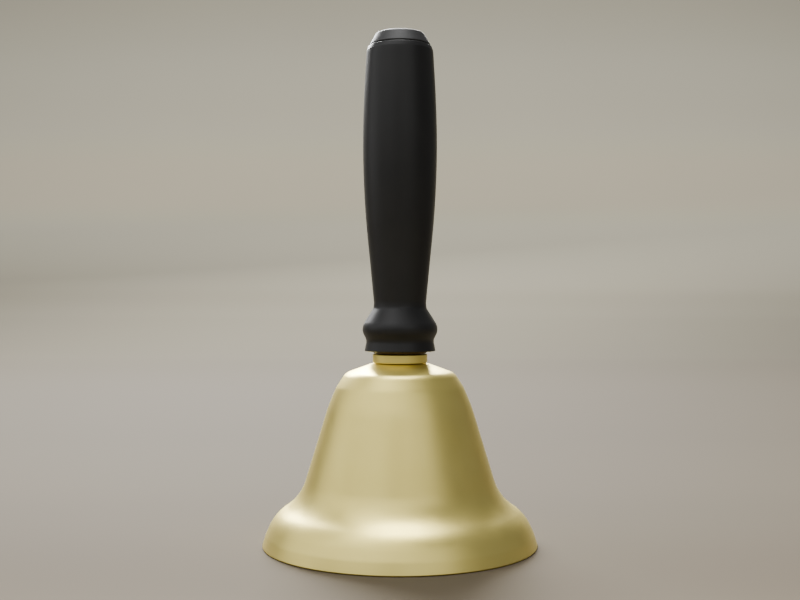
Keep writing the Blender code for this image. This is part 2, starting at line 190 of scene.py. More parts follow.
def rounded(corners):
    """Outline through corners (radius, height, rounding), each rounded by an arc."""
    points = [corners[0][:2]]
    for before, corner, after in zip(corners, corners[1:], corners[2:]):
        points += corner_arc(before, corner, after)
    points.append(corners[-1][:2])
    return points


def corner_arc(before, corner, after):
    """Points of the arc that rounds one corner of an outline."""
    radius = corner[2]
    if radius <= 0.0:
        return [corner[:2]]
    to_before = unit(before[0] - corner[0], before[1] - corner[1])
    to_after = unit(after[0] - corner[0], after[1] - corner[1])
    cos_angle = to_before[0] * to_after[0] + to_before[1] * to_after[1]
    half_angle = math.acos(max(-1.0, min(1.0, cos_angle))) / 2
    bisector = unit(to_before[0] + to_after[0], to_before[1] + to_after[1])
    reach = radius / math.sin(half_angle)
    centre = (corner[0] + bisector[0] * reach, corner[1] + bisector[1] * reach)
    tangent = radius / math.tan(half_angle)
    start = (corner[0] + to_before[0] * tangent, corner[1] + to_before[1] * tangent)
    start_angle = math.atan2(start[1] - centre[1], start[0] - centre[0])
    sweep = math.pi - 2 * half_angle
    if to_before[0] * to_after[1] - to_before[1] * to_after[0] > 0:
        sweep = -sweep
    count = max(MIN_ARC_PIECES, math.ceil(abs(math.degrees(sweep)) / ARC_STEP_DEG))
    angles = [start_angle + sweep * i / count for i in range(count + 1)]
    return [(centre[0] + radius * math.cos(a), centre[1] + radius * math.sin(a)) for a in angles]


def unit(x, y):
    """Direction (x, y) at length 1."""
    length = math.hypot(x, y)
    return (x / length, y / length)


def swell(stations):
    """Smooth curve through stations (radius, height), without the last station."""
    ends = [stations[0]] + stations + [stations[-1]]
    points = []
    for p0, p1, p2, p3 in zip(ends, ends[1:], ends[2:], ends[3:]):
        for i in range(SWELL_PIECES):
            t = i / SWELL_PIECES
            points.append(tuple(between(p0[k], p1[k], p2[k], p3[k], t) for k in range(2)))
    return points


def between(a, b, c, d, t):
    """Catmull-Rom value between b and c at t from 0 to 1."""
    return 0.5 * (2 * b + (c - a) * t + (2 * a - 5 * b + 4 * c - d) * t ** 2
                  + (3 * b - 3 * c + d - a) * t ** 3)


# ---------------------------------------------------------------- meshes

def make_object(name, verts, faces, materials, sharp_deg=SHARP_DEG):
    """Mesh object from vertices in millimetres, smooth except at its sharp edges."""
    mesh = bpy.data.meshes.new(name)
    mesh.from_pydata([(x * MM, y * MM, z * MM) for x, y, z in verts], [], faces)
    mesh.validate()
    obj = bpy.data.objects.new(name, mesh)
    bpy.context.scene.collection.objects.link(obj)
    for material in materials:
        mesh.materials.append(material)
    mesh.shade_smooth()
    mesh.set_sharp_from_angle(angle=math.radians(sharp_deg))
    return obj


def surface_of_rows(name, rows, steps, materials, closed, sharp_deg=SHARP_DEG):
    """Surface around Z. Each row gives (radius, height) at an angle; a row of radius 0 is one point.
    closed joins the last row to the first, as a ring needs."""
    verts = []
    row_verts = []
    for row in rows:
        first = row(0.0)
        if first[0] == 0.0:
            row_verts.append([len(verts)] * steps)
            verts.append((0.0, 0.0, first[1]))
            continue
        row_verts.append(list(range(len(verts), len(verts) + steps)))
        for j in range(steps):
            angle = 2 * math.pi * j / steps
            radius, height = row(angle)
            verts.append((radius * math.cos(angle), radius * math.sin(angle), height))
    pairs = list(zip(row_verts, row_verts[1:]))
    if closed:
        pairs.append((row_verts[-1], row_verts[0]))
    faces = []
    for upper, lower in pairs:
        for j in range(steps):
            k = (j + 1) % steps
            corners = [upper[j], lower[j], lower[k], upper[k]]
            faces.append(list(dict.fromkeys(corners)))
    return make_object(name, verts, faces, materials, sharp_deg)


def turned(name, outline, steps, materials, closed=False):
    """Solid of revolution about Z. The outline runs down the outer side."""
    rows = [lambda angle, point=point: point for point in outline]
    return surface_of_rows(name, rows, steps, materials, closed)


def ring_outline(inner_r, outer_r, bottom, top, bevel=0.1):
    """Closed outline of a flat ring with small rounded edges."""
    corners = [(inner_r, (bottom + top) / 2, 0.0), (inner_r, top, bevel), (outer_r, top, bevel),
               (outer_r, bottom, bevel), (inner_r, bottom, bevel), (inner_r, (bottom + top) / 2, 0.0)]
    return rounded(corners)[:-1]


def sweep(name, sections, materials):
    """Closed solid through a row of sections, each a loop of points, with capped ends."""
    count = len(sections[0])
    verts = [point for section in sections for point in section]
    faces = [list(range(count))[::-1]]
    for i in range(len(sections) - 1):
        base = i * count
        for j in range(count):
            k = (j + 1) % count
            faces.append([base + j, base + k, base + count + k, base + count + j])
    last = (len(sections) - 1) * count
    faces.append(list(range(last, last + count)))
    return make_object(name, verts, faces, materials)


def tube(name, points, radius, materials):
    """Round wire along points, in millimetres, with flat ends."""
    sections = []
    normal = None
    for i, point in enumerate(points):
        ahead = points[min(i + 1, len(points) - 1)]
        behind = points[max(i - 1, 0)]
        tangent = normalised([a - b for a, b in zip(ahead, behind)])
        if normal is None:
            side = (0.0, 1.0, 0.0) if abs(tangent[1]) < 0.9 else (1.0, 0.0, 0.0)
            normal = normalised(cross(tangent, side))
        along = sum(n * t for n, t in zip(normal, tangent))
        normal = normalised([n - along * t for n, t in zip(normal, tangent)])
        other = cross(tangent, normal)
        section = []
        for j in range(WIRE_SIDES):
            angle = 2 * math.pi * j / WIRE_SIDES
            section.append(tuple(p + radius * (math.cos(angle) * n + math.sin(angle) * o)
                                 for p, n, o in zip(point, normal, other)))
        sections.append(section)
    return sweep(name, sections, materials)


def cross(a, b):
    """Cross product of two directions."""
    return (a[1] * b[2] - a[2] * b[1], a[2] * b[0] - a[0] * b[2], a[0] * b[1] - a[1] * b[0])


def normalised(v):
    """Direction v at length 1."""
    length = math.sqrt(sum(c * c for c in v))
    return tuple(c / length for c in v)


def join_solids(obj, other, sharp_deg):
    """Boolean union of two closed meshes, applied to obj. The other object is removed."""
    union = obj.modifiers.new("union", "BOOLEAN")
    union.operation = "UNION"
    union.solver = "EXACT"
    union.object = other
    bpy.context.view_layer.update()
    evaluated = obj.evaluated_get(bpy.context.evaluated_depsgraph_get())
    mesh = bpy.data.meshes.new_from_object(evaluated)
    obj.modifiers.clear()
    obj.data = mesh
    bpy.data.objects.remove(other, do_unlink=True)
    mesh.shade_smooth()
    mesh.set_sharp_from_angle(angle=math.radians(sharp_deg))


def place(piece, body, node):
    """Rides a piece on its body, in place of its CAD node."""
    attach(piece, body)
    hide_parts(node)


# ---------------------------------------------------------------- material helpers

class NodeTree:
    """Short calls for building a material's nodes."""

    def __init__(self, name, colour, metallic, roughness):
        self.material = bpy.data.materials.new(name)
        self.material.use_nodes = True
        self.tree = self.material.node_tree
        self.shader = self.tree.nodes["Principled BSDF"]
        self.shader.inputs["Base Color"].default_value = (*colour, 1.0)
        self.shader.inputs["Metallic"].default_value = metallic
        self.shader.inputs["Roughness"].default_value = roughness

    def add(self, kind, **settings):
        node = self.tree.nodes.new(kind)
        for key, value in settings.items():
            setattr(node, key, value)
        return node

    def link(self, output, target):
        self.tree.links.new(output, target)

    def maths(self, operation, a, b=None):
        node = self.add("ShaderNodeMath", operation=operation)
        for socket, value in zip(node.inputs, (a, b)):
            if value is None:
                continue
            if isinstance(value, (int, float)):
                socket.default_value = value
            else:
                self.link(value, socket)
        return node.outputs[0]

    def position(self):
        """Object position in millimetres, as x, y and z."""
        coordinates = self.add("ShaderNodeTexCoord")
        scale = self.add("ShaderNodeVectorMath", operation="SCALE")
        scale.inputs["Scale"].default_value = 1 / MM
        self.link(coordinates.outputs["Object"], scale.inputs[0])
        split = self.add("ShaderNodeSeparateXYZ")
        self.link(scale.outputs[0], split.inputs[0])
        return split.outputs

    def combine(self, x, y, z):
        node = self.add("ShaderNodeCombineXYZ")
        for socket, value in zip(node.inputs, (x, y, z)):
            self.link(value, socket)
        return node.outputs[0]

    def noise(self, vector, scale, detail=3.0, roughness=0.5):
        node = self.add("ShaderNodeTexNoise")
        node.inputs["Scale"].default_value = scale
        node.inputs["Detail"].default_value = detail
        node.inputs["Roughness"].default_value = roughness
        self.link(vector, node.inputs["Vector"])
        return node.outputs["Fac"]

    def remap(self, value, low, high, out_low, out_high):
        node = self.add("ShaderNodeMapRange")
        for key, number in (("From Min", low), ("From Max", high),
                            ("To Min", out_low), ("To Max", out_high)):
            node.inputs[key].default_value = number
        self.link(value, node.inputs["Value"])
        return node.outputs["Result"]

    def mix_colours(self, factor, first, second):
        node = self.add("ShaderNodeMix", data_type="RGBA")
        self.link(factor, node.inputs["Factor"])
        node.inputs["A"].default_value = (*first, 1.0)
        node.inputs["B"].default_value = (*second, 1.0)
        return node.outputs["Result"]

    def bump(self, heights):
        """Bump from (height socket, depth in millimetres) pairs, one after the other."""
        normal = None
        for height, depth in heights:
            node = self.add("ShaderNodeBump")
            node.inputs["Strength"].default_value = 1.0
            node.inputs["Distance"].default_value = depth * MM
            self.link(height, node.inputs["Height"])
            if normal is not None:
                self.link(normal, node.inputs["Normal"])
            normal = node.outputs["Normal"]
        self.link(normal, self.shader.inputs["Normal"])


def plain_vector(tree):
    """Object position in millimetres, as one vector."""
    x, y, z = tree.position()
    return tree.combine(x, y, z)


def turning_vector(tree, along_scale):
    """Coordinates for marks that run round the axis: slow round it, fast along the outline."""
    x, y, z = tree.position()
    radius = tree.maths("SQRT", tree.maths("ADD", tree.maths("MULTIPLY", x, x),
                                           tree.maths("MULTIPLY", y, y)))
    safe = tree.maths("MAXIMUM", radius, 0.01)     # never divides by zero on the axis
    along = tree.maths("MULTIPLY", tree.maths("SUBTRACT", z, radius), along_scale)
    return tree.combine(tree.maths("DIVIDE", x, safe), tree.maths("DIVIDE", y, safe), along)


# ---------------------------------------------------------------- materials

def turned_metal(name, colour, second, roughness, marks_mm, marks_depth):
    """Metal finished on a lathe: fine marks round the axis, and a faint cloudy change of tone.
    marks_mm is the width of a mark and marks_depth its depth, in millimetres."""
    tree = NodeTree(name, colour, 1.0, roughness)
    cloud = tree.noise(plain_vector(tree), 0.06, 4.0)
    tree.link(tree.mix_colours(tree.remap(cloud, 0.35, 0.65, 0.0, 1.0), colour, second),
              tree.shader.inputs["Base Color"])
    marks = tree.noise(turning_vector(tree, 1 / marks_mm), 1.0, 2.0)
    smudge = tree.noise(plain_vector(tree), 0.16, 5.0, 0.62)
    wear = tree.maths("ADD", tree.remap(marks, 0.3, 0.7, -0.02, 0.02),
                      tree.remap(smudge, 0.35, 0.65, roughness - 0.015, roughness + 0.02))
    tree.link(wear, tree.shader.inputs["Roughness"])
    tree.bump([(marks, marks_depth)])
    return tree.material


def cast_metal(name, colour, second, roughness):
    """Metal left as cast: a fine sandy skin and a cloudy change of tone at random."""
    tree = NodeTree(name, colour, 1.0, roughness)
    vector = plain_vector(tree)
    sand = tree.noise(vector, 2.2, 6.0, 0.6)
    stain = tree.noise(vector, 0.09, 4.0)
    tree.link(tree.mix_colours(tree.remap(stain, 0.3, 0.7, 0.0, 1.0), colour, second),
              tree.shader.inputs["Base Color"])
    tree.link(tree.remap(sand, 0.3, 0.7, roughness - 0.06, roughness + 0.08),
              tree.shader.inputs["Roughness"])
    rings = tree.noise(turning_vector(tree, 0.8), 1.0, 1.0)
    tree.bump([(sand, 0.05), (rings, 0.04)])
    return tree.material


def lacquered_wood(name):
    """Black satin lacquer on turned wood: the grain only just telegraphs through."""
    colour = (0.0080, 0.0080, 0.0084)
    rubbed = (0.0110, 0.0109, 0.0108)
    roughness = 0.42
    tree = NodeTree(name, colour, 0.0, roughness)
    x, y, z = tree.position()
    grain_vector = tree.combine(x, y, tree.maths("MULTIPLY", z, 0.045))
    grain = tree.noise(grain_vector, 1.6, 4.0, 0.55)
    skin = tree.noise(plain_vector(tree), 0.9, 3.0)
    handled = tree.noise(plain_vector(tree), 0.07, 3.0)
    tree.link(tree.mix_colours(tree.remap(handled, 0.35, 0.7, 0.0, 1.0), colour, rubbed),
              tree.shader.inputs["Base Color"])
    tree.link(tree.maths("ADD", tree.remap(handled, 0.3, 0.7, roughness - 0.02, roughness + 0.03),
                         tree.remap(grain, 0.3, 0.7, -0.02, 0.02)),
              tree.shader.inputs["Roughness"])
    tree.bump([(grain, 0.012), (skin, 0.006)])
    tree.shader.inputs["Specular IOR Level"].default_value = 0.36
    return tree.material


def moulded_plastic(name):
    """Black moulded plastic with a fine matt spark-eroded skin."""
    colour = (0.0090, 0.0090, 0.0094)
    rubbed = (0.0125, 0.0124, 0.0122)
    roughness = 0.56
    tree = NodeTree(name, colour, 0.0, roughness)
    vector = plain_vector(tree)
    skin = tree.noise(vector, 5.0, 4.0, 0.6)
    handled = tree.noise(vector, 0.12, 3.0)
    tree.link(tree.mix_colours(tree.remap(handled, 0.35, 0.7, 0.0, 1.0), colour, rubbed),
              tree.shader.inputs["Base Color"])
    tree.link(tree.remap(skin, 0.3, 0.7, roughness - 0.04, roughness + 0.05),
              tree.shader.inputs["Roughness"])
    tree.bump([(skin, 0.008)])
    return tree.material


def plated_steel(name):
    """Zinc plated steel with a faint crystalline mottle."""
    colour = (0.50, 0.51, 0.53)
    warm = (0.44, 0.44, 0.43)
    roughness = 0.30
    tree = NodeTree(name, colour, 1.0, roughness)
    vector = plain_vector(tree)
    mottle = tree.noise(vector, 0.9, 5.0, 0.6)
    tree.link(tree.mix_colours(tree.remap(mottle, 0.35, 0.65, 0.0, 1.0), colour, warm),
              tree.shader.inputs["Base Color"])
    tree.link(tree.remap(mottle, 0.3, 0.7, roughness - 0.06, roughness + 0.1),
              tree.shader.inputs["Roughness"])
    tree.bump([(tree.noise(vector, 4.0, 3.0), 0.01)])
    return tree.material


def vulcan_fibre(name):
    """Pressed fibre sheet: short tangled fibres and small dark flecks."""
    colour = (0.055, 0.030, 0.016)
    fleck = (0.020, 0.012, 0.008)
    tree = NodeTree(name, colour, 0.0, 0.8)
    vector = plain_vector(tree)
    fibres = tree.noise(vector, 3.0, 8.0, 0.7)
    tree.link(tree.mix_colours(tree.remap(fibres, 0.45, 0.65, 0.0, 1.0), colour, fleck),
              tree.shader.inputs["Base Color"])
    tree.link(tree.remap(fibres, 0.3, 0.7, 0.7, 0.9), tree.shader.inputs["Roughness"])
    tree.bump([(fibres, 0.04)])
    return tree.material


def stage_paint(name):
    """Matt warm grey paint of the floor and backdrop, graded in tone with its depth as painted light and
    shade: the grade evens out how the lamps fall on floor and backdrop, and lightens the floor in front
    of the bell as a painted light that the lip reflects.
    """
    colour = (0.159, 0.143, 0.106)
    second = (0.154, 0.138, 0.102)
    front_m, back_m = -0.5, 2.9
    painted_light_grade = [                 # depth in metres, tone, share of blue; painted light and shade graded with depth
        (-0.3, 1.10, 1.00), (-0.14, 0.90, 0.90), (-0.07, 0.51, 0.80), (0.04, 0.445, 0.82),
        (0.13, 0.435, 0.82), (0.27, 0.37, 0.82), (0.52, 0.315, 0.84), (1.1, 0.291, 0.94),
        (1.6, 0.47, 1.02), (1.8, 0.712, 1.04), (2.2, 1.275, 1.09), (2.49, 1.165, 1.07),
        (2.65, 1.08, 1.09), (2.8, 0.905, 1.06),
    ]
    tree = NodeTree(name, colour, 0.0, 0.9)
    # the colour ramp below carries the painted light and shade, graded with depth
    depth = tree.remap(tree.position()[1], front_m / MM, back_m / MM, 0.0, 1.0)
    ramp = tree.add("ShaderNodeValToRGB")
    tree.link(depth, ramp.inputs["Fac"])
    ramp.color_ramp.interpolation = "CARDINAL"
    elements = ramp.color_ramp.elements
    elements.remove(elements[1])
    brightest = max(tone for _, tone, _ in painted_light_grade)
    for i, (depth_m, tone, blue) in enumerate(painted_light_grade):
        position = (depth_m - front_m) / (back_m - front_m)
        element = elements[0] if i == 0 else elements.new(position)
        element.position = position
        level = tone / brightest
        element.color = (level, level * (1 + blue) / 2, level * blue, 1.0)
    mottle = tree.noise(plain_vector(tree), 0.004, 3.0)
    paint = tree.mix_colours(mottle, [c * brightest for c in colour], [c * brightest for c in second])
    graded = tree.add("ShaderNodeMix", data_type="RGBA", blend_type="MULTIPLY")
    graded.inputs["Factor"].default_value = 1.0
    tree.link(paint, graded.inputs["A"])
    tree.link(ramp.outputs["Color"], graded.inputs["B"])
    tree.link(graded.outputs["Result"], tree.shader.inputs["Base Color"])
    tree.shader.inputs["Specular IOR Level"].default_value = 0.15
    return tree.material


BRASS_COLOUR = (0.95, 0.80, 0.245)
BRASS_SECOND = (0.92, 0.77, 0.225)

satin_brass = turned_metal("satin_brass", BRASS_COLOUR, BRASS_SECOND, 0.40, 0.12, 0.004)
inside_brass = cast_metal("inside_brass", (0.60, 0.45, 0.20), (0.46, 0.33, 0.14), 0.48)
# ferrule brass darkened as painted shade, standing in for the shade under the handle's overhang
dark_brass = turned_metal("dark_brass", (0.12, 0.08, 0.03), (0.09, 0.06, 0.02), 0.48, 0.15, 0.006)
ball_brass = turned_metal("ball_brass", (0.72, 0.55, 0.26), (0.66, 0.49, 0.22), 0.27, 0.2, 0.006)
black_lacquer = lacquered_wood("black_lacquer")
black_plastic = moulded_plastic("black_plastic")
steel = plated_steel("plated_steel")
fibre = vulcan_fibre("vulcan_fibre")


# ---------------------------------------------------------------- bell cup and neck

def bell_cup():
    """Brass shell, satin outside and as cast inside."""
    outside = [(ROD_HOLE_R, CROWN_TOP)] + rounded(CUP_OUTSIDE + [CUP_INSIDE[0], CUP_INSIDE[1]])[:-1]
    inside = rounded([CUP_OUTSIDE[-1]] + CUP_INSIDE)
    first_inside = 1 + len(corner_arc(CUP_OUTSIDE[-1], CUP_INSIDE[0], CUP_INSIDE[1]))
    outline = outside + inside[first_inside:]
    cup = turned("cup_shell", outline, CUP_STEPS, [satin_brass, inside_brass], closed=True)
    inside_row = len(outside) - 1
    for polygon in cup.data.polygons:
        if polygon.index // CUP_STEPS >= inside_row:
            polygon.material_index = 1
    place(cup, "bell", "bell_cup")


def neck():
    """Fibre washer, brass collar and ferrule between the cup and the handle; the ferrule's brass is
    darkened as painted shade under the handle's overhang.
    """
    washer = turned("crown_washer_ring", ring_outline(ROD_HOLE_R, WASHER_R, WASHER_BOTTOM, WASHER_TOP),
                    SMALL_STEPS, [fibre], closed=True)
    place(washer, "bell", "crown_washer")

    recess_r = WASHER_R + GAP
    recess_top = WASHER_TOP + GAP
    outline = rounded([
        (ROD_HOLE_R, recess_top + 0.2, 0.0),
        (ROD_HOLE_R, COLLAR_TOP, COLLAR_HOLE_EDGE),
        (COLLAR_R, COLLAR_TOP, COLLAR_EDGE),
        (COLLAR_R, COLLAR_BOTTOM, COLLAR_EDGE),
        (recess_r, COLLAR_BOTTOM, RECESS_EDGE),
        (recess_r, recess_top, RECESS_EDGE),
        (ROD_HOLE_R, recess_top, 0.0),
    ])
    collar = turned("collar_ring", outline, HANDLE_STEPS, [satin_brass], closed=True)
    place(collar, "bell", "collar")

    # the ferrule's darkened brass is painted shade under the handle
    ferrule = turned("ferrule_ring", ring_outline(ROD_HOLE_R, FERRULE_R, FERRULE_BOTTOM, FERRULE_TOP),
                     HANDLE_STEPS, [dark_brass], closed=True)
    place(ferrule, "bell", "handle_ferrule")


# ---------------------------------------------------------------- handle

def handle():
    """Turned grip with its bead, foot, bore and top pocket, and the cap that closes the pocket."""
    pocket_r = FERRULE_R + GAP
    pocket_top = FERRULE_TOP + GAP
    step = (SWELL_TOP - WAIST_Z) / (len(GRIP_RADII) - 1)
    stations = [(radius, SWELL_TOP - step * i) for i, radius in enumerate(GRIP_RADII)]
    outline = rounded([(TOP_POCKET_R, HANDLE_TOP, 0.0)] + GRIP_EDGE + [stations[0]])[:-1]
    outline += swell(stations)
    outline += rounded(HANDLE_FOOT + [(pocket_r, HANDLE_BOTTOM, 0.0)])
    outline += [(pocket_r, pocket_top), (HANDLE_BORE_R, pocket_top),
                (HANDLE_BORE_R, TOP_POCKET_FLOOR), (TOP_POCKET_R, TOP_POCKET_FLOOR)]
    grip = turned("grip", outline, HANDLE_STEPS, [black_lacquer], closed=True)
    place(grip, "bell", "handle_grip")

    spigot_r = TOP_POCKET_R - GAP
    cap_outline = rounded(CAP_OUTSIDE + [(spigot_r, CAP_BOTTOM, 0.0)])
    cap_outline += [(spigot_r, CAP_SPIGOT_BOTTOM), (0.0, CAP_SPIGOT_BOTTOM)]
    cap = turned("end_cap", cap_outline, HANDLE_STEPS, [black_plastic])
    place(cap, "bell", "handle_end_cap")


# ---------------------------------------------------------------- rod and fasteners

def thread_radius(angle, height):
    """Radius of the rod's screw thread at an angle and a height, with flat crest and root."""
    phase = (height / ROD_PITCH - angle / (2 * math.pi)) % 1.0
    flank = abs(2 * phase - 1.0)
    return ROD_ROOT_R + (ROD_R - ROD_ROOT_R) * min(1.0, max(0.0, 1.25 * flank - 0.1))


def tie_rod():
    """Through-rod with a screw thread at both ends and a plain shank between."""
    tip = 0.6                 # length of the rounded start of the thread
    run_out_length = 1.0      # over which the thread fades into the shank
    low_end = ROD_BOTTOM + ROD_THREAD_LENGTH
    high_start = ROD_TOP - ROD_THREAD_LENGTH

    def threaded(height):
        from_end = min(height - ROD_BOTTOM, ROD_TOP - height)
        limit = ROD_ROOT_R + 0.1 + from_end / tip * 0.5
        run_out = max(0.0, min(1.0, 1.0 + (from_end - ROD_THREAD_LENGTH) / run_out_length))

        def at(angle):
            cut_r = thread_radius(angle, height)
            cut_r += (ROD_R - cut_r) * run_out
            return (min(cut_r, limit), height)
        return at

    count = int(ROD_THREAD_LENGTH / (ROD_PITCH / THREAD_ROWS_PER_PITCH))
    rows = [lambda angle: (0.0, ROD_TOP)]
    rows += [threaded(ROD_TOP - (ROD_TOP - high_start) * i / count) for i in range(count + 1)]
    rows += [threaded(low_end - (low_end - ROD_BOTTOM) * i / count) for i in range(count + 1)]
    rows.append(lambda angle: (0.0, ROD_BOTTOM))
    rod = surface_of_rows("threaded_rod", rows, ROD_STEPS, [steel], closed=False, sharp_deg=50.0)
    place(rod, "bell", "tie_rod")


def hex_nut(name, node, body, hole_r):
    """Hexagon nut with chamfered corners and countersunk hole."""
    bottom, top, apothem = span(node)
    face_r = apothem * 0.96   # round flat face inside the chamfer
    chamfer_slope = math.tan(math.radians(30.0))
    countersink = 0.3

    def hex_radius(angle):
        sixth = math.pi / 3
        return apothem / math.cos((angle + sixth / 2) % sixth - sixth / 2)

    def edge(from_height, sign):
        def at(angle):
            radius = hex_radius(angle)
            return (radius, from_height - sign * (radius - face_r) * chamfer_slope)
        return at

    def fixed(radius, height):
        return lambda angle: (radius, height)

    rows = [fixed(hole_r, top - countersink), fixed(hole_r + countersink, top), fixed(face_r, top),
            edge(top, 1.0), edge(bottom, -1.0), fixed(face_r, bottom),
            fixed(hole_r + countersink, bottom), fixed(hole_r, bottom + countersink)]
    nut = surface_of_rows(name, rows, NUT_STEPS, [steel], closed=True, sharp_deg=24.0)
    place(nut, body, node)


def lock_washer(name, node):
    """Spring washer: a flat wire of square section bent round, with slanted open ends."""
    bottom, top, outer_r = span(node)
    middle = (bottom + top) / 2
    opening_deg = 8.0
    slant_deg = 7.0
    rise = 0.1                # each end leaves the middle plane by this much
    section = ring_outline(ROD_HOLE_R, outer_r, bottom + rise, top - rise, bevel=0.12)
    sections = []
    for i in range(LOCK_WASHER_PIECES + 1):
        part = i / LOCK_WASHER_PIECES
        lift = rise * (2 * part - 1)
        points = []
        for radius, height in section:
            lean = math.radians(slant_deg) * (height - middle) / (top - bottom)
            angle = math.radians(opening_deg / 2 + (360 - opening_deg) * part) + lean
            points.append((radius * math.cos(angle), radius * math.sin(angle), height + lift))
        sections.append(points)
    washer = sweep(name, sections, [steel])
    place(washer, "bell", node)


def flat_ring(name, node, material):
    """Flat washer that fills its node's box around the rod."""
    bottom, top, outer_r = span(node)
    ring = turned(name, ring_outline(ROD_HOLE_R, outer_r, bottom, top), SMALL_STEPS, [material],
                  closed=True)
    place(ring, "bell", node)


def fasteners():
    """Rod, nuts and washers, from the top pocket down to the ball."""
    tie_rod()
    flat_ring("top_washer_ring", "top_washer", steel)
    lock_washer("top_lock_ring", "top_lock_washer")
    hex_nut("top_hex_nut", "top_nut", "bell", ROD_HOLE_R)
    flat_ring("inner_gasket_ring", "inner_gasket", fibre)
    flat_ring("inner_washer_ring", "inner_washer", steel)
    lock_washer("inner_lock_ring", "inner_lock_washer")
    hex_nut("clamp_hex_nut", "clamp_nut", "bell", ROD_HOLE_R)
    hex_nut("ball_hex_nut", "ball_lock_nut", "clapper", SMALL_HOLE_R)


# ---------------------------------------------------------------- clapper

def ring_points(centre_z, ring_r, start_deg, end_deg, count):
    """Points in the XZ plane on a circle, with angles from +X towards +Z."""
    points = []
    for i in range(count + 1):
        angle = math.radians(start_deg + (end_deg - start_deg) * i / count)
        points.append((ring_r * math.cos(angle), 0.0, centre_z + ring_r * math.sin(angle)))
    return points


def clapper_eye():
    """Threaded barrel with its wire eye, as one piece."""
    chamfer = EYE_BARREL_EDGE
    groove_r = EYE_BARREL_R - 0.25
    groove_edge = 0.1
    groove_half_top = 0.6     # half the groove's width at the barrel's surface
    groove_half_floor = 0.35
    middle = (EYE_TOP + EYE_BARREL_BOTTOM) / 2
    outline = [(0.0, EYE_THREAD_FLOOR), (ROD_HOLE_R, EYE_THREAD_FLOOR)]
    outline += rounded([
        (ROD_HOLE_R, EYE_TOP - chamfer, 0.0),
        (ROD_HOLE_R + chamfer, EYE_TOP, 0.0),
        (EYE_BARREL_R, EYE_TOP, chamfer),
        (EYE_BARREL_R, middle + groove_half_top, groove_edge),
        (groove_r, middle + groove_half_floor, groove_edge),
        (groove_r, middle - groove_half_floor, groove_edge),
        (EYE_BARREL_R, middle - groove_half_top, groove_edge),
        (EYE_BARREL_R, EYE_BARREL_BOTTOM, chamfer),
        (0.0, EYE_BARREL_BOTTOM, 0.0),
    ])
    barrel = turned("eye_barrel", outline, SMALL_STEPS, [steel])
    bpy.ops.mesh.primitive_torus_add(major_segments=96, minor_segments=24,
                                     major_radius=EYE_RING_R * MM, minor_radius=EYE_WIRE_R * MM,
                                     location=(0.0, 0.0, EYE_RING_Z * MM),
                                     rotation=(math.radians(90.0), 0.0, 0.0))
    join_solids(barrel, bpy.context.active_object, sharp_deg=40.0)
    place(barrel, "bell", "clapper_eye")


def clapper_link():
    """Oval wire link in the YZ plane, bent from one length with a butt joint in one side."""
    upper = LINK_TOP - LINK_WIRE_R - LINK_HALF_WIDTH
    lower = LINK_BOTTOM + LINK_WIRE_R + LINK_HALF_WIDTH
    middle = (upper + lower) / 2
    points = [(0.0, LINK_HALF_WIDTH, middle + LINK_JOINT_GAP / 2)]
    for centre_z, start_angle in ((upper, 0.0), (lower, math.pi)):
        for i in range(LINK_BEND_PIECES + 1):
            angle = start_angle + math.pi * i / LINK_BEND_PIECES
            points.append((0.0, LINK_HALF_WIDTH * math.cos(angle),
                           centre_z + LINK_HALF_WIDTH * math.sin(angle)))
    points.append((0.0, LINK_HALF_WIDTH, middle - LINK_JOINT_GAP / 2))
    link = tube("oval_link", points, LINK_WIRE_R, [steel])
    place(link, "link", "clapper_link")


def clapper():
    """Clapper wire bent to an eye, with the ball on its lower end."""
    bend_deg = 52.0           # where the bend meets the ring, from its lowest point
    ring_end_deg = 252.0      # the wire's end comes back close to the stem
    stem_z = CLAPPER_RING_Z - CLAPPER_RING_R - 3.2
    stem_pull = 4.5           # how strongly the bend follows the stem and the ring
    ring_pull = 3.0
    points = [(0.0, 0.0, CLAPPER_BOTTOM + (stem_z - CLAPPER_BOTTOM) * i / CLAPPER_STEM_PIECES)
              for i in range(CLAPPER_STEM_PIECES + 1)]
    loop = ring_points(CLAPPER_RING_Z, CLAPPER_RING_R, -90.0 + bend_deg, ring_end_deg,
                       CLAPPER_RING_PIECES)
    start = points[-1]
    end = loop[0]
    end_slope = (math.sin(math.radians(bend_deg)) * ring_pull,
                 math.cos(math.radians(bend_deg)) * ring_pull)
    for i in range(1, CLAPPER_BEND_PIECES):
        points.append(hermite(start, (0.0, stem_pull), end, end_slope, i / CLAPPER_BEND_PIECES))
    points += loop
    rod = tube("clapper_wire", points, CLAPPER_WIRE_R, [steel])
    place(rod, "clapper", "clapper_rod")

    neck_angle = math.acos((BALL_TOP - BALL_CENTRE) / BALL_R)
    outline = [(0.0, BALL_HOLE_FLOOR), (SMALL_HOLE_R, BALL_HOLE_FLOOR), (SMALL_HOLE_R, BALL_TOP)]
    for i in range(BALL_PIECES + 1):
        angle = neck_angle + (math.pi - neck_angle) * i / BALL_PIECES
        radius = BALL_R * math.sin(angle) if i < BALL_PIECES else 0.0
        outline.append((radius, BALL_CENTRE + BALL_R * math.cos(angle)))
    ball = turned("striking_ball", outline, SMALL_STEPS, [ball_brass])
    place(ball, "clapper", "clapper_ball")


def hermite(start, start_slope, end, end_slope, t):
    """Point in the XZ plane on a smooth bend between two points with given (x, z) slopes."""
    h00 = 2 * t ** 3 - 3 * t ** 2 + 1
    h10 = t ** 3 - 2 * t ** 2 + t
    h01 = 3 * t ** 2 - 2 * t ** 3
    h11 = t ** 3 - t ** 2
    x = h00 * start[0] + h10 * start_slope[0] + h01 * end[0] + h11 * end_slope[0]
    z = h00 * start[2] + h10 * start_slope[1] + h01 * end[2] + h11 * end_slope[1]
    return (x, 0.0, z)


# ---------------------------------------------------------------- stage, light, camera

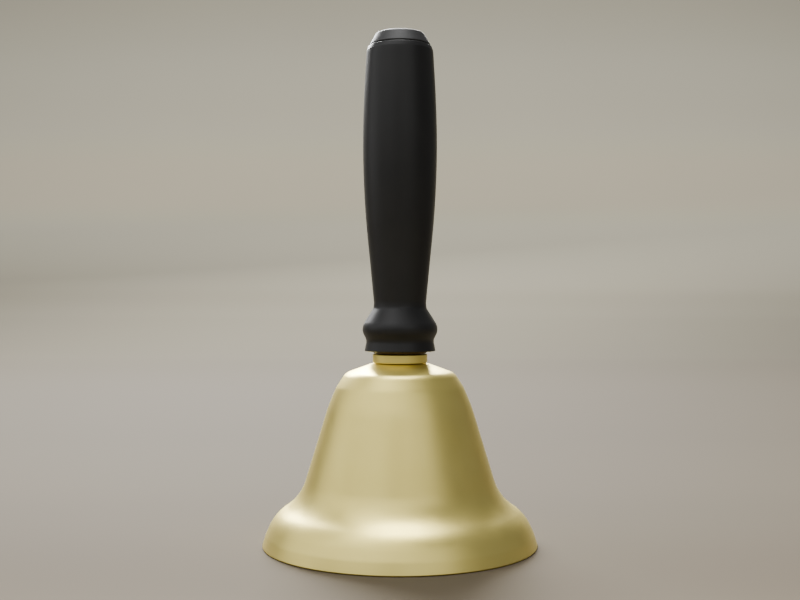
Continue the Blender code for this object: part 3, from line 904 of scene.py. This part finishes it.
def stage():
    """Floor that curves up into the backdrop, in one sheet."""
    front_m = -3.0
    back_m = 3.0
    curve_r_m = 1.8
    height_m = 1.9
    half_width_m = 3.5
    arc_pieces = 24
    profile = [(front_m, 0.0), (0.0, 0.0)]
    for i in range(arc_pieces + 1):
        angle = math.pi / 2 * i / arc_pieces
        profile.append((back_m - curve_r_m + curve_r_m * math.sin(angle),
                        curve_r_m * (1 - math.cos(angle))))
    profile.append((back_m, height_m))
    verts = []
    for y, z in profile:
        verts.append((-half_width_m / MM, y / MM, z / MM))
        verts.append((half_width_m / MM, y / MM, z / MM))
    faces = [[2 * i, 2 * i + 1, 2 * i + 3, 2 * i + 2] for i in range(len(profile) - 1)]
    sheet = make_object("floor_and_backdrop", verts, faces, [stage_paint("stage_paint")],
                        sharp_deg=180.0)


AIM_M = (0.0, 0.0, 0.07)
LIGHTS = [                    # name, azimuth and elevation in degrees, distance and size in metres, watts
    ("back_low", -168.0, 28.0, 1.75, (1.30, 0.26), 85.0),
    ("back", -172.0, 43.0, 1.7, (0.60, 0.45), 75.0),
    ("overhead", 180.0, 84.0, 1.8, (0.70, 0.70), 32.0),
    ("left", -92.0, 24.0, 1.8, (1.40, 1.40), 6.6),
    ("high_left", -60.0, 65.0, 1.8, (1.00, 0.90), 6.0),
    ("front_left", -40.0, 32.0, 1.8, (1.70, 1.30), 7.6),
    ("front_high", 0.0, 50.0, 1.8, (0.90, 0.90), 2.0),
    ("front_right", 22.0, 27.0, 1.8, (1.60, 1.10), 4.7),
]
WORLD_STRENGTH = 0.20
BACKDROP_LIGHT_M = (0.0, 1.4, 1.75)
BACKDROP_LIGHT_TARGET_M = (0.0, 3.0, 0.45)
BACKDROP_LIGHT_SIZE_M = (3.6, 0.5)
BACKDROP_LIGHT_WATTS = 115.0


def softbox(name, location, target, size, power):
    """White rectangular area light at location, facing target. Both are in metres."""
    data = bpy.data.lights.new(name, "AREA")
    data.shape = "RECTANGLE"
    data.size, data.size_y = size
    data.energy = power
    lamp = bpy.data.objects.new(name, data)
    bpy.context.scene.collection.objects.link(lamp)
    lamp.location = location
    lamp.rotation_euler = (Vector(target) - Vector(location)).to_track_quat("-Z", "Y").to_euler()


def light_bell(name, azimuth_deg, elevation_deg, distance, size, power):
    """Softbox that faces the bell. Azimuth 0 is towards the camera, and grows to the right."""
    azimuth = math.radians(azimuth_deg)
    elevation = math.radians(elevation_deg)
    location = (AIM_M[0] + distance * math.cos(elevation) * math.sin(azimuth),
                AIM_M[1] - distance * math.cos(elevation) * math.cos(azimuth),
                AIM_M[2] + distance * math.sin(elevation))
    softbox(name, location, AIM_M, size, power)


def world():
    """Weak even light from all sides."""
    sky = bpy.data.worlds.new("studio")
    sky.use_nodes = True
    background = sky.node_tree.nodes["Background"]
    background.inputs["Color"].default_value = (1.0, 1.0, 1.0, 1.0)
    background.inputs["Strength"].default_value = WORLD_STRENGTH
    bpy.context.scene.world = sky


def camera():
    """Level camera in front of the bell, sharp at every depth."""
    data = bpy.data.cameras.new("camera")
    data.lens = CAMERA_LENS_MM
    data.clip_start = 0.01
    data.dof.use_dof = False
    view = bpy.data.objects.new("camera", data)
    bpy.context.scene.collection.objects.link(view)
    view.location = (0.0, -CAMERA_DISTANCE_M, CAMERA_HEIGHT_M)
    view.rotation_euler = (math.radians(90.0), 0.0, 0.0)
    bpy.context.scene.camera = view


camera()
stage()
world()
for entry in LIGHTS:
    light_bell(*entry)
softbox("backdrop", BACKDROP_LIGHT_M, BACKDROP_LIGHT_TARGET_M, BACKDROP_LIGHT_SIZE_M,
        BACKDROP_LIGHT_WATTS)
bell_cup()
neck()
handle()
fasteners()
clapper_eye()
clapper_link()
clapper()
